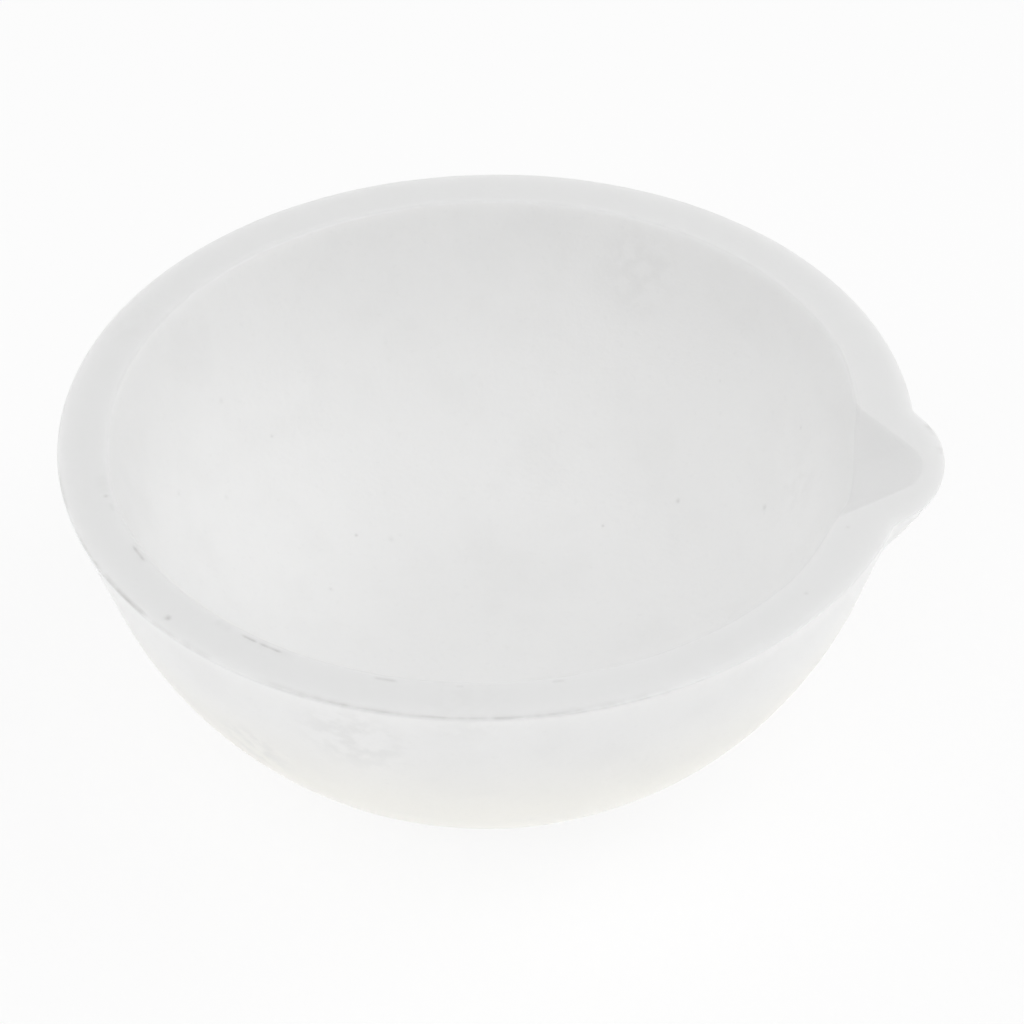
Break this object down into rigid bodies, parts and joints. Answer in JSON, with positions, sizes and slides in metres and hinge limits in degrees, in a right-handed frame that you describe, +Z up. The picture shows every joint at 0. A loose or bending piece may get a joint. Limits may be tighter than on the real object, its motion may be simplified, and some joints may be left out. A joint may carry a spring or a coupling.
{
  "type": "foundry crucible",
  "caption": "Round thick-walled pouring dish of white fused-silica ceramic, with a flat rim, a smooth hollow and a short grooved beak for pouring melted metal.",
  "frame": {"origin": "centre of the flat foot, on its underside", "axes": "+Z up through the middle of the hollow, +X towards the pouring beak"},
  "size_m": [0.0776, 0.075, 0.032],
  "materials": {
    "fused_silica": "matt, slightly chalky"
  },
  "bodies": {
    "root": {"crucible_dish": "fused_silica"}
  },
  "joints": []
}
